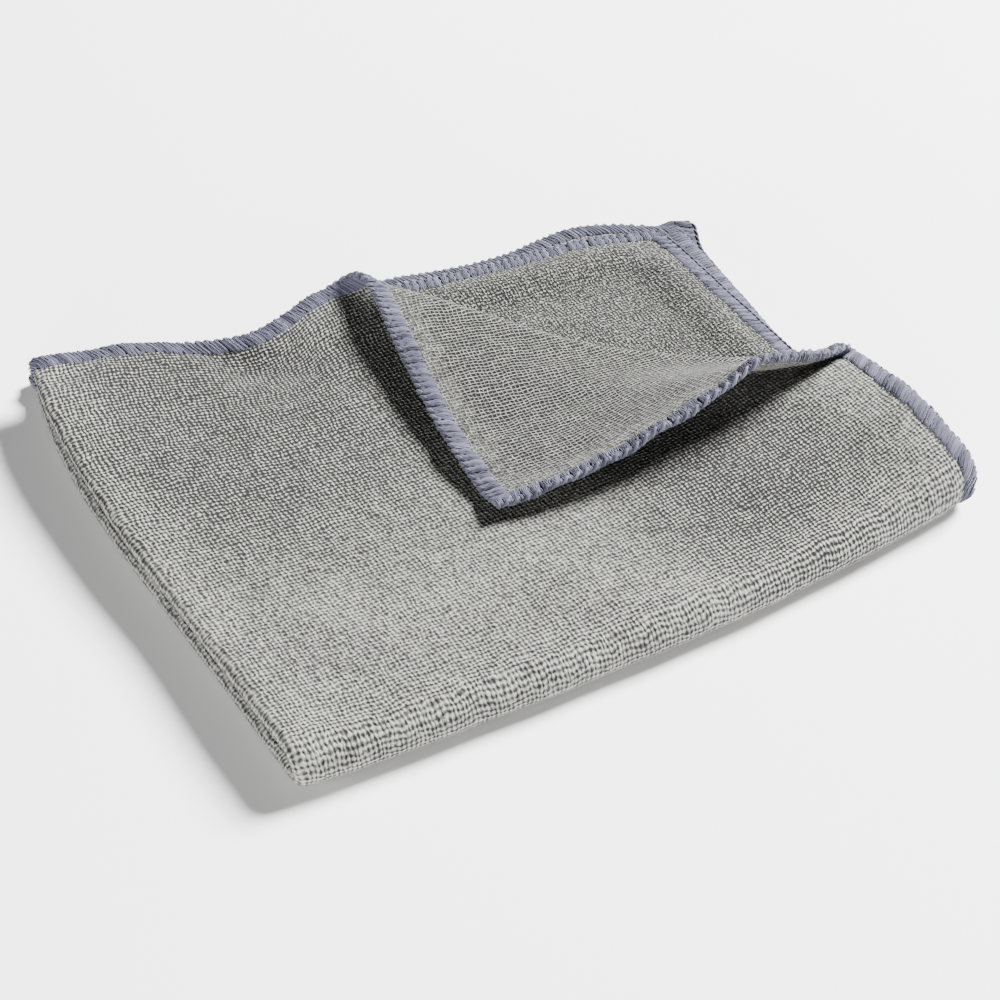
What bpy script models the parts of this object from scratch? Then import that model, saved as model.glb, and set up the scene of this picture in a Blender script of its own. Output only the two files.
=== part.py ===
"""A hemmed cloth folded in four, with the back right corner of its top layer turned over.

The cloth is one sheet, 400 by 300 mm. It is folded in half to the left and then in half
to the front, so four layers lie on each other. Counted from the top they are the outer
upper, the inner upper, the inner lower and the outer lower layer. A grid is laid on the
flat sheet and each of its points is carried to its folded place by the functions below.

Lengths are in millimetres until the points are written to the mesh, which is in metres.
X runs to the right along the front fold, Y to the back and Z up.
"""

import bmesh
import bpy
import numpy as np

MILLIMETRE = 0.001

# The flat sheet.
FLAT_LENGTH = 400.0
FLAT_WIDTH = 300.0
THICKNESS = 1.8
HALF_LENGTH = FLAT_LENGTH / 2
HALF_WIDTH = FLAT_WIDTH / 2

# First fold, along the left edge: half the distance between the layers that it joins,
# at the fold itself and where the layers lie close, and how fast one becomes the other.
FOLD_RADIUS = 1.7
LAYER_OFFSET = 1.15
FOLD_FADE = 16.0

# Second fold, along the front edge: the radius that the pair of layers bends round, and
# how far the upper pair has sunk once it is clear of the fold.
FRONT_RADIUS = 4.3
SINK = 3.9
SINK_START = 6.0
SINK_RUN = 69.0

# The back left corner of the upper pair curls up.
CURL_HEIGHT = 6.9
CURL_REACH = 35.6
CURL_START = -25.0

# Turned corner of the top layer. The crease runs from the back hem to the right hem.
CREASE_ON_BACK_HEM = 87.4
CREASE_ON_RIGHT_HEM = 54.9
CREASE_BOW = 8.9
CREASE_BOW_LEAN = 0.99
FLAP_KEEP = 0.885
FLAP_SLIDE = -20.9
FLAP_SQUEEZE = -2.52
FLAP_LENGTH = 80.0
FLAP_SCALE = 60.0
FLAP_LAND = 2.5
FLAP_EASE_OUT = 18.0
FLAP_SWELL_LEFT = 1.42
FLAP_SWELL_RIGHT = 1.67
FLAP_ARCH = 19.5
FLAP_ARCH_PLACE = 0.962
FLAP_ARCH_REACH = 0.249

# Along the crease: radius of the roll, and how far the layer has risen where it starts.
#              start  middle  end
ROLL_RADIUS = (5.0, 3.8, 2.8)
ROLL_RISE = (5.0, 0.6, 7.4)
# Length over which the layer rises to the roll, at the crease's start and at its end.
RISE_RUN = (27.8, 57.0)
# Below 1 the rise is fuller near its foot.
RISE_SHAPE = 0.65

# How the outline of the folded cloth departs from a rectangle.
LEFT_BOW = 3.2
LEFT_BOW_LEAN = 1.5
FRONT_BOW = 4.9
FRONT_BOW_LEAN = -0.7
FRONT_LEFT_CUT = 1.9
CUT_REACH = 14.0
BACK_SKEW = -8.4
BACK_TILT = -20.2
BACK_HEM_SAG = 10.5
SAG_PLACE = 60.1
SAG_REACH = 18.0
BACK_LEFT_PULL = 0.6

# Hems of the lower layers against the top one's, in X and Y: to the right at the back and
# half way to it, backwards, and how far the back hem falls short at the right end.
#               right  half  back  short
HEM_SHIFT = {
    "inner upper": (-10.1, -8.6, -0.9, 11.6),
    "inner lower": (-2.7, -7.9, 5.3, 22.4),
    "outer lower": (-0.8, -6.5, 7.6, 22.4),
}
# The back right corner of the lowest layer stands out as a blunt tab: how far out to the
# right and backwards, how wide it is, how it fades into the back hem and along the right one.
TAB_OUT = (5.0, 1.8)
TAB_WIDTH = 4.8
TAB_FADE = 1.8
TAB_REACH = 8.5

# The back hems of the lower layers and of the layer above them bulge backwards here.
BULGE_LOWER = 18.1
BULGE_INNER = 6.5
BULGE_PLACE = 176.4
BULGE_REACH = 29.8

# The exposed layer under the turned corner stands up in a soft ridge along its hems.
RIDGE_HEIGHT = 2.6
RIDGE_IN = 10.5
RIDGE_REACH = 6.5

# Middle of the folded outline, which becomes the origin.
MIDDLE = (93.85, 79.1)

# Grid on the flat sheet: cells in each stretch. The outer upper layer is the finest.
#                  far side, fold, near side
CELLS_ALONG = (12, 6, 22)
CELLS_ACROSS = (8, 8, 16)

# Extra edges across the roll, parallel to its crease, so that it bends cleanly.
ROLL_LINES_FROM = -17.0
ROLL_LINES_TO = 16.0
ROLL_LINES = 16
SHORTEST_EDGE = 0.85

CLOTH_COLOUR = (0.33, 0.33, 0.32, 1.0)
CLOTH_ROUGHNESS = 0.95


def ease(t):
    """Smooth step from 0 to 1 as t goes from 0 to 1."""
    t = np.clip(t, 0.0, 1.0)
    return t * t * (3.0 - 2.0 * t)


def hump(t):
    """A bow that is 0 at both ends of 0 to 1 and 1 in the middle."""
    t = np.clip(t, 0.0, 1.0)
    return 4.0 * t * (1.0 - t)


def bell(distance, reach):
    return np.exp(-((distance / reach) ** 2))


def through(values, a):
    """A smooth curve with the given start, middle and end value as a goes from 0 to 1."""
    start, middle, end = values
    return start * (1 - a) * (1 - 2 * a) + 4 * middle * a * (1 - a) + end * a * (2 * a - 1)


def fold_in_four(u, v):
    """Carry flat places to the neatly folded cloth; u is positive on the outer layers and
    v on the upper ones."""
    quarter = np.pi / 2
    turn = np.minimum(abs(u) / FOLD_RADIUS, quarter)
    x = FOLD_RADIUS * (1 - np.cos(turn)) + np.maximum(abs(u) - FOLD_RADIUS * quarter, 0)
    offset = LAYER_OFFSET + (FOLD_RADIUS - LAYER_OFFSET) * bell(x, FOLD_FADE)
    outward = np.sign(u) * offset * np.sin(turn)
    turn = np.minimum(abs(v) / FRONT_RADIUS, quarter)
    straight = np.maximum(abs(v) - FRONT_RADIUS * quarter, 0)
    y = FRONT_RADIUS - (FRONT_RADIUS + outward) * np.cos(turn) + straight
    z = np.sign(v) * (FRONT_RADIUS + outward) * np.sin(turn)
    z = z + FRONT_RADIUS + offset + THICKNESS / 2
    upper = (1 + np.sign(v) * np.sin(turn)) / 2
    return x, y, z, upper


def shift_hems(x, y, u, v):
    """Let the hems of the lower layers show past each other, as cloth folded by hand does."""
    layers = {
        "inner upper": (u <= 0) & (v > 0),
        "inner lower": (u <= 0) & (v <= 0),
        "outer lower": (u > 0) & (v <= 0),
    }
    along = ease((abs(u) - HALF_LENGTH / 2) / (HALF_LENGTH / 2))
    across = ease((abs(v) - 60.0) / 90.0)
    behind = np.clip((abs(v) - 70) / 80, 0, 1)
    for name, layer in layers.items():
        right, half, back, short = HEM_SHIFT[name]
        shift = half * ease((abs(v) - 10) / 60) * (1 - behind) + right * behind
        x = x + np.where(layer, shift * along, 0)
        y = y + np.where(layer, (back - short * along) * across, 0)
    bulge = bell(abs(u) - BULGE_PLACE, BULGE_REACH) * across
    y = y + np.where(v <= 0, BULGE_LOWER * bulge, 0)
    y = y + np.where(layers["inner upper"], BULGE_INNER * bulge, 0)
    tab = 1 - ease((HALF_LENGTH - u - TAB_WIDTH) / TAB_FADE)
    tab = np.where(layers["outer lower"], tab * bell(HALF_WIDTH + v, TAB_REACH), 0)
    return x + TAB_OUT[0] * tab, y + TAB_OUT[1] * tab


def ridge(u, v):
    """Height of the soft ridge beside the hems of the inner upper layer."""
    from_back = HALF_WIDTH - v
    from_right = HALF_LENGTH + u
    back = bell(from_back - RIDGE_IN, RIDGE_REACH) * ease((from_right - 4) / 14)
    right = bell(from_right - RIDGE_IN, RIDGE_REACH) * ease((from_back - 4) / 14)
    shown = (u < 0) & (v > 0)
    high = np.sqrt(back**2 + right**2) / np.sqrt(1 + back * right)
    return np.where(shown, RIDGE_HEIGHT * high * ease((v - 20) / 40) * ease((-u - 90) / 40), 0)


def lift(x, y):
    """Lift of the upper pair, which sinks behind the front fold and curls up at the back left
    corner."""
    sink = SINK * ease((y - SINK_START) / SINK_RUN)
    curl = CURL_HEIGHT * bell(x, CURL_REACH) * ease((y - CURL_START) / (HALF_WIDTH - CURL_START))
    return curl - sink


def crease():
    """Start, length, direction and outward direction of the crease, before it bows."""
    start = np.array([CREASE_ON_BACK_HEM, HALF_WIDTH])
    end = np.array([HALF_LENGTH, CREASE_ON_RIGHT_HEM])
    length = np.hypot(*(end - start))
    along = (end - start) / length
    out = np.array([-along[1], along[0]])
    return start, length, along, out


def turn_corner(x, y, z, top):
    """Roll the back right corner of the top layer over its bowed crease."""
    start, length, along, out = crease()
    a = ((x - start[0]) * along[0] + (y - start[1]) * along[1]) / length
    b = (x - start[0]) * out[0] + (y - start[1]) * out[1]
    on_crease = np.clip(a, -0.15, 1.15)
    radius = through(ROLL_RADIUS, on_crease)
    rise = through(ROLL_RISE, on_crease)
    bow = CREASE_BOW * hump(on_crease) * (1 + CREASE_BOW_LEAN * (2 * np.clip(a, 0, 1) - 1))
    roll_start = -radius - bow
    past = b - roll_start
    turn = np.clip(past / radius, 0, np.pi)
    free = np.maximum(past - np.pi * radius, 0)
    rise_run = np.interp(on_crease, (0, 1), RISE_RUN)
    risen = z + rise * ease(1 + past / rise_run) ** RISE_SHAPE
    rolled = risen + radius * (1 - np.cos(turn))
    back = roll_start + radius * np.sin(turn) - free * FLAP_KEEP
    place = a * length + (FLAP_SLIDE - FLAP_SQUEEZE * (2 * on_crease - 1)) * free / FLAP_SCALE
    over_x = start[0] + place * along[0] + back * out[0]
    over_y = start[1] + place * along[1] + back * out[1]
    # The flap comes down from the roll and lands on the layer under its tip.
    level = 2 * FRONT_RADIUS + 2 * LAYER_OFFSET + THICKNESS / 2
    crest = level - SINK + rise + 2 * radius
    run = np.clip((back + FLAP_LENGTH) / (FLAP_LENGTH - radius), 0, 1)
    lean = ease(a)
    swell = (1 - (1 - run) ** FLAP_SWELL_LEFT) * (1 - lean) + run**FLAP_SWELL_RIGHT * lean
    low = level + lift(over_x, over_y) + FLAP_LAND
    flap = low + (crest - low) * swell
    flap = flap + (rolled - flap) * np.exp(-free / FLAP_EASE_OUT)
    flap = flap + FLAP_ARCH * bell(a - FLAP_ARCH_PLACE, FLAP_ARCH_REACH) * ease(free / 22)
    height = np.where(free > 0, flap, rolled)
    turned = top & (past > 0)
    x = np.where(turned, over_x, x)
    y = np.where(turned, over_y, y)
    z = np.where(top & (past > -rise_run), height, z)
    return x, y, z


def settle(x, y, flat_x, flat_y):
    """Bow, skew and sag the folded outline. The flat_ places are those before the turn."""
    across = np.clip(x / HALF_LENGTH, 0, 1)
    deep = np.clip(y / HALF_WIDTH, 0, 1)
    left = LEFT_BOW * hump(deep) * (1 + LEFT_BOW_LEAN * (2 * deep - 1)) * (1 - across) ** 1.5
    front = FRONT_BOW * np.sin(np.pi * across) + FRONT_BOW_LEAN * np.sin(2 * np.pi * across)
    front = front * (1 - deep) ** 1.5
    cut = FRONT_LEFT_CUT * bell(x, CUT_REACH) * bell(y, CUT_REACH)
    sag = BACK_HEM_SAG * bell(flat_x - SAG_PLACE, SAG_REACH) * ease((flat_y - 100) / 50)
    pull = BACK_LEFT_PULL * ease((flat_y - 105) / 45) * (1 - across) ** 2
    settled_x = x + pull - left + cut / 2 + BACK_SKEW * deep
    settled_y = y - front + cut - sag + BACK_TILT * deep * (across - 0.5)
    return settled_x - MIDDLE[0], settled_y - MIDDLE[1]


def folded(u, v):
    """Place of the sheet's middle surface, in millimetres, for flat places u and v."""
    x, y, z, upper = fold_in_four(u, v)
    x, y = shift_hems(x, y, u, v)
    flat_x = x
    flat_y = y
    z = z + upper * lift(x, y) + ridge(u, v)
    x, y, z = turn_corner(x, y, z, (u > 0) & (v > 0))
    x, y = settle(x, y, flat_x, flat_y)
    return np.stack([x, y, z], axis=-1)


def stations(half, fold, cells):
    """Grid lines over one side of the flat sheet, close together at the fold."""
    far, bend, near = cells
    before = np.linspace(-half, -fold, far + 1)[:-1]
    middle = np.linspace(-fold, fold, bend + 1)
    after = np.linspace(fold, half, near + 1)[1:]
    return np.concatenate([before, middle, after])


def cloth_material():
    material = bpy.data.materials.new("microfibre_knit")
    material.use_nodes = True
    shader = material.node_tree.nodes["Principled BSDF"]
    shader.inputs["Base Color"].default_value = CLOTH_COLOUR
    shader.inputs["Roughness"].default_value = CLOTH_ROUGHNESS
    shader.inputs["Metallic"].default_value = 0.0
    return material


def flat_sheet():
    """The flat sheet as a grid, with extra edges along the roll of the turned corner."""
    along = stations(HALF_LENGTH, FOLD_RADIUS * np.pi / 2, CELLS_ALONG)
    across = stations(HALF_WIDTH, FRONT_RADIUS * np.pi / 2, CELLS_ACROSS)
    cells_along = len(along) - 1
    cells_across = len(across) - 1
    sheet = bmesh.new()
    bmesh.ops.create_grid(sheet, x_segments=cells_along, y_segments=cells_across, size=0.5)
    for vert in sheet.verts:
        column = round((vert.co.x + 0.5) * cells_along)
        row = round((vert.co.y + 0.5) * cells_across)
        vert.co = (along[column], across[row], 0)
    start, _, _, out = crease()
    for reach in np.linspace(ROLL_LINES_FROM, ROLL_LINES_TO, ROLL_LINES):
        top = [face for face in sheet.faces if min(face.calc_center_median().xy) > 0]
        edges = {edge for face in top for edge in face.edges}
        verts = {vert for face in top for vert in face.verts}
        bmesh.ops.bisect_plane(
            sheet,
            geom=list(verts) + list(edges) + top,
            plane_co=(*(start + reach * out), 0),
            plane_no=(*out, 0),
        )
    bmesh.ops.remove_doubles(sheet, verts=sheet.verts, dist=SHORTEST_EDGE)
    return sheet


def make_cloth(collection):
    mesh = bpy.data.meshes.new("cloth")
    cloth = bpy.data.objects.new("cloth", mesh)
    collection.objects.link(cloth)
    sheet = flat_sheet()
    flat = np.array([vert.co.xy for vert in sheet.verts])
    places = folded(flat[:, 0], flat[:, 1]) * MILLIMETRE
    for vert, place in zip(sheet.verts, places):
        vert.co = place
    sheet.to_mesh(mesh)
    sheet.free()
    mesh.shade_smooth()
    mesh.materials.append(cloth_material())
    solid = cloth.modifiers.new("thickness", "SOLIDIFY")
    solid.thickness = THICKNESS * MILLIMETRE
    solid.offset = 0.0
    solid.use_even_offset = True
    return cloth


def main():
    for old in list(bpy.data.objects):
        bpy.data.objects.remove(old, do_unlink=True)
    collection = bpy.data.collections.new("folded_cloth")
    bpy.context.scene.collection.children.link(collection)
    make_cloth(collection)


main()
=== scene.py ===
"""Microfibre cloth, folded in four with one corner turned over, with its overlocked hem."""

from types import SimpleNamespace

import bpy
import numpy as np
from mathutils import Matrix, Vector


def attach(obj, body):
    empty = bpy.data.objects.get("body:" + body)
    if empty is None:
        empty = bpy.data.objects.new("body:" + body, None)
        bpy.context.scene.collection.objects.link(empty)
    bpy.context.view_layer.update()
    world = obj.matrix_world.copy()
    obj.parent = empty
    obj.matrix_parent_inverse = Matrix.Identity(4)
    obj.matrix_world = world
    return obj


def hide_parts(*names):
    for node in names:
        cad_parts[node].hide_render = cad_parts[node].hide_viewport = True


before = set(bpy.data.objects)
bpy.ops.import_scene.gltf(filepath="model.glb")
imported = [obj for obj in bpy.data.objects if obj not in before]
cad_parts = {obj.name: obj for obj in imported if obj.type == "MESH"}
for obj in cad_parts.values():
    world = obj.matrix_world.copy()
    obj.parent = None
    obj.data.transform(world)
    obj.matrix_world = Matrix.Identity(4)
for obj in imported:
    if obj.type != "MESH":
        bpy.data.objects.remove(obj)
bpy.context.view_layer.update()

bl_info = {
    "name": "Folded microfibre cloth",
    "version": (1, 0, 0),
    "blender": (4, 5, 0),
    "location": "View3D > Sidebar > Cloth",
    "description": "Builds a folded microfibre cloth, its overlocked hem and a small studio",
    "category": "Add Mesh",
}

MM = 0.001

# ---------------------------------------------------------------------------
# The folds, in millimetres. The sheet is folded in half to the left and then in half to
# the front. u runs along the flat sheet and v across it, both from its middle: u is
# positive on the outer layers and v on the upper ones.
# ---------------------------------------------------------------------------

# Left fold: its radius, and how far the layers lie from the middle of their pair where they
# have come together beside it.
FOLD_RADIUS = 1.7
LAYER_OFFSET = 1.15
FOLD_FADE = 16.0

# Front fold: its radius, and how far the upper pair sinks behind it, from where and over
# what length.
FRONT_RADIUS = 4.3
SINK = 3.9
SINK_START = 6.0
SINK_RUN = 69.0

# The upper pair curls up at the back left corner.
CURL_HEIGHT = 6.9
CURL_REACH = 35.6
CURL_START = -25.0

# The crease of the turned corner: where it meets the two hems, and how far it bows away from
# the corner.
CREASE_ON_BACK_HEM = 87.4
CREASE_ON_RIGHT_HEM = 54.9
CREASE_BOW = 8.9
CREASE_BOW_LEAN = 0.99
# The flap beyond the roll: the share of its length that shows from above, and how far it
# slides and is squeezed along the crease for each FLAP_SCALE of its length.
FLAP_KEEP = 0.885
FLAP_SLIDE = -20.9
FLAP_SQUEEZE = -2.52
FLAP_SCALE = 60.0
# It comes down over this length to this far above the layer below. It leaves the roll's round
# softly, and its slope is full at the left and hollow at the right.
FLAP_LENGTH = 80.0
FLAP_LAND = 2.5
FLAP_EASE_OUT = 18.0
FLAP_SWELL_LEFT = 1.42
FLAP_SWELL_RIGHT = 1.67
# Its front hem stands up in an arch: how high, and where and how wide along the crease.
FLAP_ARCH = 19.5
FLAP_ARCH_PLACE = 0.962
FLAP_ARCH_REACH = 0.249

# Along the crease: radius of the roll, and how far the layer has risen where it starts.
#              start  middle  end
ROLL_RADIUS = (5.0, 3.8, 2.8)
ROLL_RISE = (5.0, 0.6, 7.4)
# Length over which the layer rises to the roll, at the crease's start and at its end.
RISE_RUN = (27.8, 57.0)
# Below 1 the rise is fuller near its foot.
RISE_SHAPE = 0.65
# The roll dips a little where it meets the right hem: how deep, how far past its start,
# how far the dip reaches across the roll, and along it as a share of the crease.
DIP = 2.4
DIP_PLACE = 7.0
DIP_REACH = 5.8
DIP_ALONG = 0.12

# The outline: how far the left and front folds bow out and where most, how their corner is
# cut, how the back hem is skewed, tilted and sagging, and how its left corner is pulled in.
LEFT_BOW = 3.2
LEFT_BOW_LEAN = 1.5
FRONT_BOW = 4.9
FRONT_BOW_LEAN = -0.7
FRONT_LEFT_CUT = 1.9
CUT_REACH = 14.0
BACK_SKEW = -8.4
BACK_TILT = -20.2
BACK_HEM_SAG = 10.5
SAG_PLACE = 60.1
SAG_REACH = 18.0
BACK_LEFT_PULL = 0.6

# Hems of the lower layers against the top one's, in X and Y: to the right at the back and
# half way to it, backwards, and how far the back hem falls short at the right end.
#               right  half  back  short
HEM_SHIFT = {
    "inner upper": (-10.1, -8.6, -0.9, 11.6),
    "inner lower": (-2.7, -7.9, 5.3, 22.4),
    "outer lower": (-0.8, -6.5, 7.6, 22.4),
}
# The back right corner of the lowest layer stands out as a blunt tab: how far out to the
# right and backwards, how wide it is, how it fades into the back hem and along the right one.
TAB_OUT = (5.0, 1.8)
TAB_WIDTH = 4.8
TAB_FADE = 1.8
TAB_REACH = 8.5

# The back hems of the lower layers and of the layer above them bulge backwards here.
BULGE_LOWER = 18.1
BULGE_INNER = 6.5
BULGE_PLACE = 176.4
BULGE_REACH = 29.8

# The exposed layer under the turned corner stands up in a soft ridge along its hems.
RIDGE_HEIGHT = 2.6
RIDGE_IN = 10.5
RIDGE_REACH = 6.5

# The frame's middle, from the corner between the two folds.
MIDDLE = (93.85, 79.1)

# The hems' stitches are thicker than the sheet, so the lower layers rise towards them.
HEM_RISE = 1.1
HEM_RISE_RUN = 14.0

# Soft unevenness of cloth folded by hand: how high, how long, how many ways it runs.
UNEVEN_HEIGHT = 0.28
UNEVEN_LENGTH = (22.0, 70.0)
UNEVEN_WAVES = 9
# Hems pull in a little between their stitches, so their edges waver.
WAVER_HEIGHT = 0.45
WAVER_LENGTH = (11.0, 26.0)
WAVER_WAVES = 7
WAVER_REACH = 16.0
# Nothing hangs lower than this.
ABOVE_FLOOR = 0.02

# Grid on the flat sheet: cells on the far side, in the fold and on the near side.
CELLS_ALONG = (84, 8, 156)
CELLS_ACROSS = (56, 12, 118)


def ease(t):
    """Smooth step from 0 to 1 as t goes from 0 to 1."""
    t = np.clip(t, 0.0, 1.0)
    return t * t * (3.0 - 2.0 * t)


def hump(t):
    """A bow that is 0 at both ends of 0 to 1 and 1 in the middle."""
    t = np.clip(t, 0.0, 1.0)
    return 4.0 * t * (1.0 - t)


def bell(distance, reach):
    """A bell curve: 1 at no distance, and about a third at its reach."""
    return np.exp(-((distance / reach) ** 2))


def through(values, a):
    """A smooth curve with the given start, middle and end value as a goes from 0 to 1."""
    start, middle, end = values
    return start * (1 - a) * (1 - 2 * a) + 4 * middle * a * (1 - a) + end * a * (2 * a - 1)


def fold_in_four(u, v, thickness):
    """Carry flat places to the neatly folded cloth."""
    quarter = np.pi / 2
    turn = np.minimum(abs(u) / FOLD_RADIUS, quarter)
    x = FOLD_RADIUS * (1 - np.cos(turn)) + np.maximum(abs(u) - FOLD_RADIUS * quarter, 0)
    offset = LAYER_OFFSET + (FOLD_RADIUS - LAYER_OFFSET) * bell(x, FOLD_FADE)
    outward = np.sign(u) * offset * np.sin(turn)
    turn = np.minimum(abs(v) / FRONT_RADIUS, quarter)
    straight = np.maximum(abs(v) - FRONT_RADIUS * quarter, 0)
    y = FRONT_RADIUS - (FRONT_RADIUS + outward) * np.cos(turn) + straight
    z = np.sign(v) * (FRONT_RADIUS + outward) * np.sin(turn)
    z = z + FRONT_RADIUS + offset + thickness / 2
    upper = (1 + np.sign(v) * np.sin(turn)) / 2
    return x, y, z, upper


def shift_hems(x, y, u, v, half_length, half_width):
    """Let the hems of the lower layers show past each other."""
    layers = {
        "inner upper": (u <= 0) & (v > 0),
        "inner lower": (u <= 0) & (v <= 0),
        "outer lower": (u > 0) & (v <= 0),
    }
    along = ease((abs(u) - half_length / 2) / (half_length / 2))
    across = ease((abs(v) - 0.4 * half_width) / (0.6 * half_width))
    behind = np.clip((abs(v) - 70) / 80, 0, 1)
    for name, layer in layers.items():
        right, half, back, short = HEM_SHIFT[name]
        shift = half * ease((abs(v) - 10) / 60) * (1 - behind) + right * behind
        x = x + np.where(layer, shift * along, 0)
        y = y + np.where(layer, (back - short * along) * across, 0)
    bulge = bell(abs(u) - BULGE_PLACE, BULGE_REACH) * across
    y = y + np.where(v <= 0, BULGE_LOWER * bulge, 0)
    y = y + np.where(layers["inner upper"], BULGE_INNER * bulge, 0)
    tab = 1 - ease((half_length - u - TAB_WIDTH) / TAB_FADE)
    tab = np.where(layers["outer lower"], tab * bell(half_width + v, TAB_REACH), 0)
    return x + TAB_OUT[0] * tab, y + TAB_OUT[1] * tab


def ridge(u, v, half_length, half_width):
    """Height of the soft ridge beside the hems of the inner upper layer."""
    from_back = half_width - v
    from_right = half_length + u
    back = bell(from_back - RIDGE_IN, RIDGE_REACH) * ease((from_right - 4) / 14)
    right = bell(from_right - RIDGE_IN, RIDGE_REACH) * ease((from_back - 4) / 14)
    shown = (u < 0) & (v > 0)
    high = np.sqrt(back**2 + right**2) / np.sqrt(1 + back * right)
    return np.where(shown, RIDGE_HEIGHT * high * ease((v - 20) / 40) * ease((-u - 90) / 40), 0)


def lift(x, y, half_width):
    """Lift of the upper pair: it sinks behind the front fold and curls up at the back left."""
    sink = SINK * ease((y - SINK_START) / SINK_RUN)
    curl = CURL_HEIGHT * bell(x, CURL_REACH) * ease((y - CURL_START) / (half_width - CURL_START))
    return curl - sink


def turn_corner(x, y, z, top, half_length, half_width, thickness):
    """Roll the back right corner of the top layer over its bowed crease."""
    start = np.array([CREASE_ON_BACK_HEM, half_width])
    end = np.array([half_length, CREASE_ON_RIGHT_HEM])
    length = np.hypot(*(end - start))
    along = (end - start) / length
    out = np.array([-along[1], along[0]])
    a = ((x - start[0]) * along[0] + (y - start[1]) * along[1]) / length
    b = (x - start[0]) * out[0] + (y - start[1]) * out[1]
    on_crease = np.clip(a, -0.15, 1.15)
    radius = through(ROLL_RADIUS, on_crease)
    rise = through(ROLL_RISE, on_crease)
    bow = CREASE_BOW * hump(on_crease) * (1 + CREASE_BOW_LEAN * (2 * np.clip(a, 0, 1) - 1))
    roll_start = -radius - bow
    past = b - roll_start
    turn = np.clip(past / radius, 0, np.pi)
    free = np.maximum(past - np.pi * radius, 0)
    rise_run = np.interp(on_crease, (0, 1), RISE_RUN)
    risen = z + rise * ease(1 + past / rise_run) ** RISE_SHAPE
    rolled = risen + radius * (1 - np.cos(turn))
    back = roll_start + radius * np.sin(turn) - free * FLAP_KEEP
    place = a * length + (FLAP_SLIDE - FLAP_SQUEEZE * (2 * on_crease - 1)) * free / FLAP_SCALE
    over_x = start[0] + place * along[0] + back * out[0]
    over_y = start[1] + place * along[1] + back * out[1]
    level = 2 * FRONT_RADIUS + 2 * LAYER_OFFSET + thickness / 2
    crest = level - SINK + rise + 2 * radius
    run = np.clip((back + FLAP_LENGTH) / (FLAP_LENGTH - radius), 0, 1)
    lean = ease(a)
    swell = (1 - (1 - run) ** FLAP_SWELL_LEFT) * (1 - lean) + run**FLAP_SWELL_RIGHT * lean
    low = level + lift(over_x, over_y, half_width) + FLAP_LAND
    flap = low + (crest - low) * swell
    flap = flap + (rolled - flap) * np.exp(-free / FLAP_EASE_OUT)
    flap = flap + FLAP_ARCH * bell(a - FLAP_ARCH_PLACE, FLAP_ARCH_REACH) * ease(free / 22)
    dip = DIP * bell(past - DIP_PLACE, DIP_REACH) * bell(a - 1, DIP_ALONG)
    height = np.where(free > 0, flap, rolled) - dip
    turned = top & (past > 0)
    x = np.where(turned, over_x, x)
    y = np.where(turned, over_y, y)
    z = np.where(top & (past > -rise_run), height, z)
    return x, y, z


def settle(x, y, flat_x, flat_y, half_length, half_width):
    """Bow, skew and sag the folded outline. The flat_ places are those before the turn."""
    across = np.clip(x / half_length, 0, 1)
    deep = np.clip(y / half_width, 0, 1)
    left = LEFT_BOW * hump(deep) * (1 + LEFT_BOW_LEAN * (2 * deep - 1)) * (1 - across) ** 1.5
    front = FRONT_BOW * np.sin(np.pi * across) + FRONT_BOW_LEAN * np.sin(2 * np.pi * across)
    front = front * (1 - deep) ** 1.5
    cut = FRONT_LEFT_CUT * bell(x, CUT_REACH) * bell(y, CUT_REACH)
    sag = BACK_HEM_SAG * bell(flat_x - SAG_PLACE, SAG_REACH) * ease((flat_y - 100) / 50)
    pull = BACK_LEFT_PULL * ease((flat_y - 105) / 45) * (1 - across) ** 2
    settled_x = x + pull - left + cut / 2 + BACK_SKEW * deep
    settled_y = y - front + cut - sag + BACK_TILT * deep * (across - 0.5)
    return settled_x - MIDDLE[0], settled_y - MIDDLE[1]


def waves(u, v, count, lengths, seed):
    """A sum of gentle waves of mixed length and direction, about 1 high at the most."""
    rng = np.random.default_rng(seed)
    total = np.zeros_like(u)
    for _ in range(count):
        heading = rng.uniform(0, 2 * np.pi)
        length = rng.uniform(*lengths)
        phase = rng.uniform(0, 2 * np.pi)
        run = u * np.cos(heading) + v * np.sin(heading)
        total = total + np.sin(2 * np.pi * run / length + phase)
    return total / np.sqrt(count)


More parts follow.
